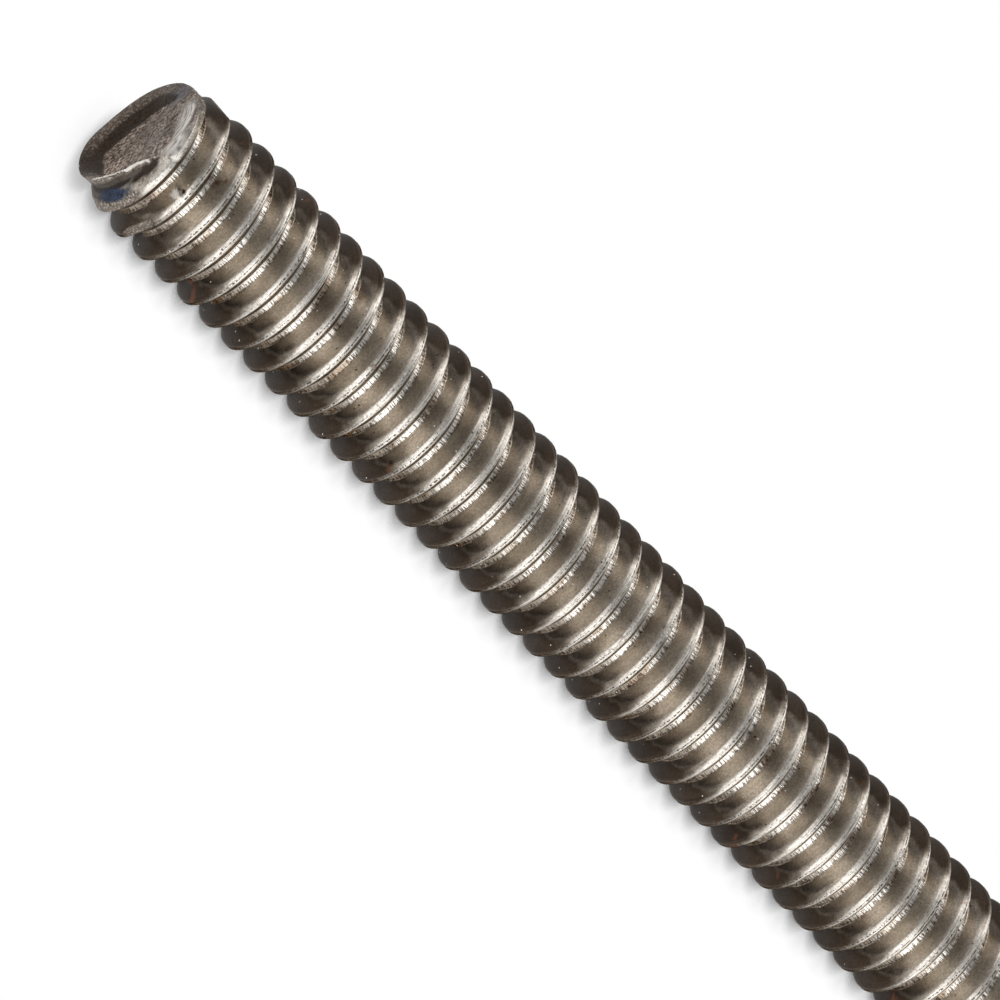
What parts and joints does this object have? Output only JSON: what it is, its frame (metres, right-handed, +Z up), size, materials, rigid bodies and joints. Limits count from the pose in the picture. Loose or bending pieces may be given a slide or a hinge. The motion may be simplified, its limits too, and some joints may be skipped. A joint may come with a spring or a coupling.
{
  "type": "threaded rod",
  "caption": "Length of fully threaded steel rod for nuts and couplings, with a rough sheared end and a square-cut, chamfered end.",
  "frame": {"origin": "on the rod's axis, at the middle of its length", "axes": "+X along the rod from the sheared end to the square-cut end, +Z up as the rod lies on a bench"},
  "size_m": [0.1016, 0.0062, 0.0062],
  "materials": {
    "steel": "rolled bright steel with brown tarnish in the grooves"
  },
  "bodies": {
    "root": {"rod": "steel"}
  },
  "joints": []
}
